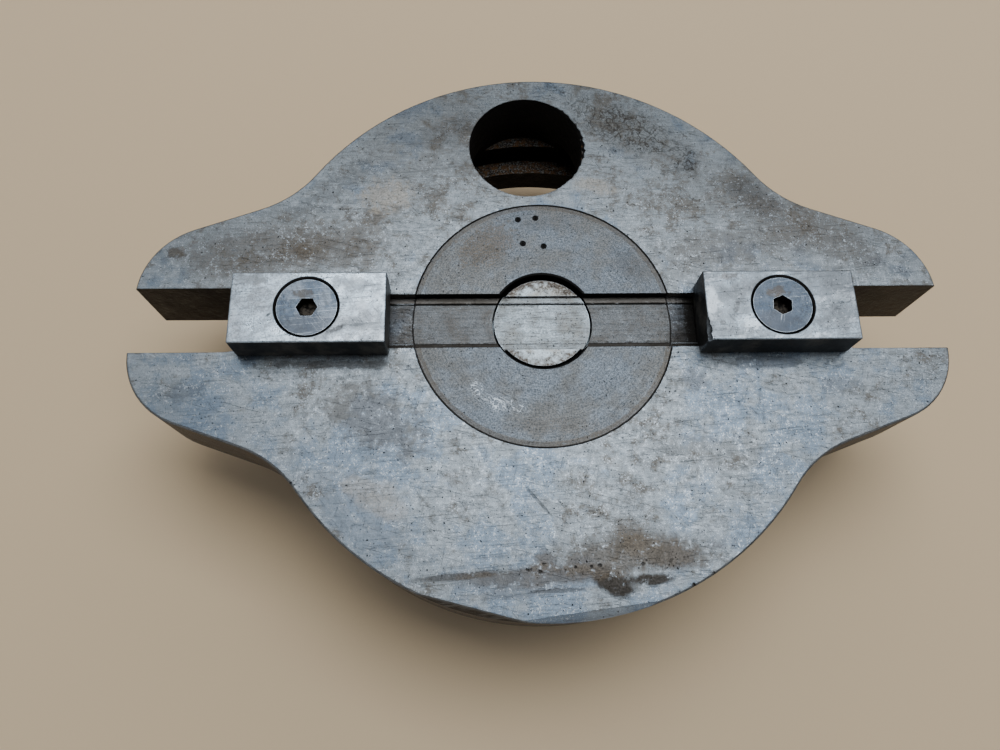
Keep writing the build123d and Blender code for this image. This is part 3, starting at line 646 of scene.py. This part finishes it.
def disc_steel(node):
    """The disc: turned, darker than the face, with a browned rim and two scuffs."""
    s = Surface(node)
    wear(s, 3)
    radius = s.from_axis()
    turned = s.rings(0.22)
    tone = (s.broad * 0.5 + s.cloud * 0.5).rise(0.42, 0.58)
    colour = s.mix(tone, *DISC_FACE)
    for spot in DISC_STAINS:
        mask = s.blot(spot, s.mottle) * s.grain.rise(0.30, 0.55)
        colour = s.mix(mask, colour, spot["colour"])
    colour = s.scaled(colour, uneven(s, 0.9, 2.2, 8.0) + (turned - 0.5) * 1.0)
    rim = (radius + (s.mottle - 0.5) * 0.8).rise(DISC_R - 1.35, DISC_R - 1.0)
    rim_colour = s.scaled(DISC_RIM, uneven(s, 0.8, 2.0, 4.0))
    colour = s.mix(rim * s.y.rise(8, -8) * 0.5 | rim * 0.4, colour, rim_colour)
    colour = worked(s, colour, 0.6, 0.22)
    scored = s.scratches(-24, 2.6, 0.17, 0.20, 12) * s.mottle.rise(0.44, 0.54)
    scored = scored | s.veins(1.9, 0.022, 13)
    scuffed = (s.blot(SCUFFS[0], s.cloud) | s.blot(SCUFFS[1], s.cloud)) * scored
    colour = s.mix((scuffed * 0.55) | (s.lines * 0.12), colour, PALE)
    colour = s.mix(s.pits * 0.8, colour, GRIME_AND_SHADE)
    colour, inside, planed = groove(s, colour, DISC_GROOVE)
    # Painted shade: the disc's side walls, and its bore below the face, darkened nearly black
    side = s.up.rise(0.9, 0.6)
    colour = s.mix(side * 0.85, colour, GRIME_AND_SHADE)
    bore_shade = radius.rise(DISC_R - 1.5, DISC_R - 1.8) * s.z.rise(FACE_Z - 0.02, FACE_Z - 0.10)
    colour = s.mix(bore_shade * (1 - inside) * 0.9, colour, GRIME_AND_SHADE)
    # Painted shade and grime: darker where ambient occlusion finds corners, holes and seams
    dirt_and_shade = s.crevice_grime_and_shade(2.5) * (1 - inside * 0.5)
    colour = s.mix(dirt_and_shade * 0.85, colour, GRIME_AND_SHADE)
    colour = seam(s, colour)
    s.dent(turned, 0.006)
    s.dent(s.grain, 0.016)
    s.dent(s.mottle, 0.02)
    s.dent(s.pits, -0.05)
    s.dent(planed * inside, 0.03)
    return s.finish(colour, 0.94, (s.cloud - 0.5) * 0.4 + (s.mottle - 0.5) * 0.3 + 0.46)


def pin_steel(node):
    """The centre pin: bright and peppered, with brown varnish round its rim."""
    s = Surface(node)
    wear(s, 5)
    low, high = box_mm(node)
    radius = s.from_axis()
    colour = s.mix(s.cloud.rise(0.42, 0.58), *PIN_END)
    colour = worked(s, s.scaled(colour, uneven(s, 0.9, 2.2, 5.0)), 0.6, 0.4)
    colour, inside, planed = groove(s, colour, PIN_GROOVE, 0.12)
    varnish = (radius + (s.cloud + s.mottle - 1.0) * 7).rise(PIN_R - 4.4, PIN_R - 1.2)
    varnish = varnish * abs(s.y).rise(5.6, 7.0) * (s.fine.rise(0.84, 1.02) * 0.7 + 0.3)
    colour = s.mix(varnish * 0.95, colour, VARNISH)
    peppered = s.fine.rise(0.99, 1.12) * s.cloud.rise(0.34, 0.56)
    colour = s.mix(peppered * 0.7, colour, DARK_METAL)
    colour = s.mix(s.dots(0.8, 0.22, 0.75, 4) * s.cloud.rise(0.38, 0.50) * 0.85, colour, GRIME_AND_SHADE)
    colour = s.mix(s.pits * 0.85, colour, GRIME_AND_SHADE)
    # Painted shade: the pin's side walls near its top, in the gap round it, darkened nearly black
    side = s.up.rise(0.9, 0.6) * s.z.rise(low.z + 3, low.z + 5)
    colour = s.mix(side * 0.9, colour, GRIME_AND_SHADE)
    worn = s.edges(0.25) * s.z.rise(high.z - 3, high.z - 2) * s.mottle.rise(0.4, 0.55)
    colour = s.mix(worn * 0.4, colour, PALE)
    s.dent(s.pits, -0.04)
    s.dent(s.mottle, 0.03)
    s.dent(planed * inside, 0.03)
    return s.finish(colour, 0.95, (s.cloud - 0.5) * 0.4 + (s.mottle - 0.5) * 0.3 + 0.40)


def tenon_steel(node):
    """A key: bright and smeared on top, black on its sides; the right one is darker on top."""
    s = Surface(node)
    low, high = box_mm(node)
    middle = centre_mm(node)
    screw = centre_mm(node.replace("block", "screw"))
    wear(s, 7)
    top = s.up.rise(0.55, 0.8) * s.z.rise(high.z - 0.8, high.z - 0.4)
    colour = s.mix((s.broad * 0.4 + s.cloud * 0.6).rise(0.44, 0.58), SILVER, DULL_SILVER)
    # The right key's top colour is scaled to 0.60 of the left's
    colour = s.scaled(colour, uneven(s, 0.9, 2.0, 4.5) * (1.02 if middle.x < 0 else 0.60))
    smear = s.noise(4.0, 5, 0.68, 9, s.moved((0, 0, 0), 30, (1.3, 0.75, 1)))
    colour = s.mix(smear.rise(0.47, 0.62) * 0.5, colour, SMEAR)
    colour = s.mix(smear.rise(0.45, 0.36) * 0.35, colour, PALE)
    for spot in BLOCK_STAINS[node]:
        mask = s.blot(spot, s.mottle) * s.grain.rise(0.25, 0.50)
        colour = s.mix(mask, colour, spot["colour"])
    colour = worked(s, colour, 0.45, 0.3)
    colour = s.mix(s.lines * 0.55, colour, DARK_METAL)
    colour = s.mix(s.pits * 0.75, colour, DARK_METAL)
    black = s.mix(s.cloud.rise(0.45, 0.62), *BLOCK_SIDE)
    black = s.scaled(black, uneven(s, 0.6, 1.6, 1.8))
    colour = s.mix(top, black, colour)
    if middle.x > 0:
        bruise = stain(low.x, -5.6, (1.3, 3.4), 0, 0.2, 0.9)
        bruised = s.blot(bruise, s.cloud) * s.z.rise(high.z - 1.8, high.z - 1.3)
        colour = s.mix(bruised * s.mottle.rise(0.3, 0.5), colour, SMEAR)
    sunk = s.from_axis(screw.x, screw.y).rise(SCREW_SEAT_R, SCREW_SEAT_R - 0.17)
    sunk = sunk * s.z.rise(high.z + 0.5, high.z + 0.3)
    colour = s.mix(sunk * 0.97, colour, GRIME_AND_SHADE)
    # Painted reflections: rounded edges darkened, and the front edges given a pale painted
    # highlight
    rounded = s.edges(0.35) * (1 - sunk)
    lit = rounded * s.y.rise(-5, -7.2) * s.mottle.rise(0.30, 0.48)
    colour = s.mix(rounded * (1 - lit) * 0.6, colour, DARK_METAL)
    colour = s.mix(lit * 0.7, colour, PALE)
    # Painted shade and grime: darker where ambient occlusion finds corners and seams off the top
    dirt_and_shade = s.crevice_grime_and_shade(2.0) * (1 - top)
    colour = s.mix(dirt_and_shade * 0.7, colour, GRIME_AND_SHADE)
    s.dent(s.grain, 0.007)
    s.dent(s.mottle, 0.015)
    s.dent(s.pits, -0.04)
    s.dent(s.lines, -0.02)
    rough = (s.cloud - 0.5) * 0.5 + (smear - 0.5) * 0.3 + 0.50 - top * 0.16
    return s.finish(colour, 0.95, rough)


def screw_steel(node):
    """A key's screw: blued and rubbed, with dirt and painted shade in its socket."""
    s = Surface(node)
    high = box_mm(node)[1]
    middle = centre_mm(node)
    wear(s, 9)
    left = middle.x < 0
    rubbed = s.noise(4.0, 5, 0.65, 12).rise(0.40, 0.60)
    colour = s.mix(rubbed * (0.50 if left else 0.15), BLUED, SCREW_RUBBED)
    turned = s.rings(0.3, middle.x, middle.y)
    tone = uneven(s, 1.4, 2.6, 4.0) + (turned - 0.5) * 0.7
    colour = s.scaled(colour, tone * (0.90 if left else 0.76))
    colour = worked(s, colour, 0.5, 0.15)
    shade = stain(middle.x - 1, middle.y - 4, (6, 3), 0, 0.8, 0.6)
    colour = s.mix(s.blot(shade, s.cloud), colour, SCREW_SHADE)
    smudge = stain(middle.x - 1, middle.y + 3, (2.4, 1.4), 0, 0.9, 0.6)
    colour = s.mix(s.blot(smudge, s.mottle), colour, BROWN)
    colour = s.mix(s.dots(1.6, 0.16, 0.3, 3) * 0.5, colour, PALE)
    colour = s.mix(s.lines * 0.4, colour, PALE)
    centre = s.from_axis(middle.x, middle.y)
    socket = centre.rise(SOCKET_R, SOCKET_R - 0.1) * s.z.rise(high.z - 0.1, high.z - 0.5)
    head_radius = high.x - middle.x
    land = centre.rise(head_radius - 0.05, head_radius) * s.up.rise(0.9, 0.7)
    worn = s.edges(0.22) * s.mottle.rise(0.34, 0.5)
    colour = s.mix(worn * 0.6, colour, PALE)
    # Dirt and painted shade: the socket's walls and the head's side near black as painted shade,
    # the socket's floor mottled with brown dirt
    bottom = socket * s.up.rise(0.6, 0.9)
    inner = s.mix(bottom * s.mottle.rise(0.40, 0.58), *SOCKET_SHADE_AND_DIRT)
    colour = s.mix((socket | land) * 0.97, colour, inner)
    # Painted shade and grime: darker where ambient occlusion finds corners and seams outside the
    # socket
    dirt_and_shade = s.crevice_grime_and_shade(1.5) * (1 - socket)
    colour = s.mix(dirt_and_shade * 0.7, colour, GRIME_AND_SHADE)
    s.dent(turned, 0.010)
    s.dent(s.grain, 0.007)
    s.dent(s.mottle, 0.015)
    return s.finish(colour, 0.96, (s.cloud - 0.5) * 0.5 + socket * 0.4 + 0.34)


def turned_steel(node):
    """The spigot: turned all over, oiled, with rubbed bands and a little rust."""
    s = Surface(node)
    wear(s, 11)
    along = s.node("ShaderNodeCombineXYZ")
    s.put(along.inputs["X"], s.z)
    s.put(along.inputs["Y"], s.x * RING_DRIFT)
    s.put(along.inputs["Z"], s.y * RING_DRIFT)
    sides = s.noise(0.3, 2, 0.6, 0, along.outputs[0])
    side = abs(s.up).rise(0.7, 0.4)
    marks = sides * side + s.rings(0.4) * (1 - side)
    colour = s.mix(s.cloud.rise(0.42, 0.60), *TURNED)
    colour = s.scaled(colour, uneven(s, 0.6, 1.2, 1.2) + (marks - 0.5) * 1.0)
    colour = s.mix(s.noise(7, 5, 0.65, 14).rise(0.52, 0.66) * 0.6, colour, BROWN)
    colour = s.mix(s.dots(3.1, 0.5, 0.25, 5) * 0.7, colour, RUST)
    colour = s.mix(s.lines * 0.4, colour, DARK_METAL)
    colour = s.mix(s.edges(0.4) * 0.6, colour, PALE)
    # Painted shade and grime: darker where ambient occlusion finds corners and seams
    colour = s.mix(s.crevice_grime_and_shade(3.0) * 0.9, colour, GRIME_AND_SHADE)
    s.dent(marks, 0.02)
    s.dent(s.pits, -0.04)
    return s.finish(colour, 0.94, (s.cloud - 0.5) * 0.4 + 0.36)


def dark_steel(node):
    """Cap screws and T-nuts: black oxide under oil, rubbed bright on the edges."""
    s = Surface(node)
    wear(s, 13)
    milled = s.noise(1.0, 2, 0.6, 15, s.moved((0, 0, 0), 90, (14, 0.45, 9)))
    colour = s.mix(s.cloud.rise(0.42, 0.60), *OXIDE)
    colour = s.scaled(colour, uneven(s, 0.8, 1.4, 1.6) + (milled - 0.5) * 1.2)
    worn = s.edges(0.4) * s.cloud.rise(0.36, 0.52)
    colour = s.mix(worn * 0.7, colour, RUBBED_OXIDE)
    # Painted shade and grime: darker where ambient occlusion finds corners and seams
    colour = s.mix(s.crevice_grime_and_shade(2.5) * 0.85, colour, GRIME_AND_SHADE)
    s.dent(milled, 0.02)
    s.dent(s.pits, -0.03)
    return s.finish(colour, 0.85, (s.cloud - 0.5) * 0.4 + 0.38)


def bronze(node):
    """Bearing bronze, oiled, with turning marks and dark oil in its corners."""
    s = Surface(node)
    wear(s, 15)
    turned = s.rings(0.3)
    colour = s.mix(s.cloud.rise(0.42, 0.60), *BRONZE)
    colour = s.scaled(colour, uneven(s, 0.6, 1.2, 1.2) + (turned - 0.5) * 0.8)
    colour = s.mix(s.lines * 0.5, colour, BRONZE_SCRATCH)
    colour = s.mix(s.edges(0.3) * 0.5, colour, BRONZE_EDGE)
    # Painted shade and grime: darker where ambient occlusion finds corners and seams
    colour = s.mix(s.crevice_grime_and_shade(2.5) * 0.9, colour, GRIME_AND_SHADE)
    s.dent(turned, 0.015)
    return s.finish(colour, 0.95, (s.cloud - 0.5) * 0.4 + 0.36)


FINISHES = {
    "base_body": ground_casting,
    "pivot_disc": disc_steel,
    "centre_pin": pin_steel,
    "tenon_block_left": tenon_steel,
    "tenon_block_right": tenon_steel,
    "tenon_screw_left": screw_steel,
    "tenon_screw_right": screw_steel,
    "swivel_spigot": turned_steel,
    "pivot_dowels": turned_steel,
    "pivot_screws": dark_steel,
    "t_nut_left": dark_steel,
    "t_nut_right": dark_steel,
    "pivot_bush": bronze,
    "thrust_washer": bronze,
}

camera()
studio()
for node_name, finish in FINISHES.items():
    shown = frame["nodes"][node_name]
    shown.data.materials.clear()
    shown.data.materials.append(finish(node_name))
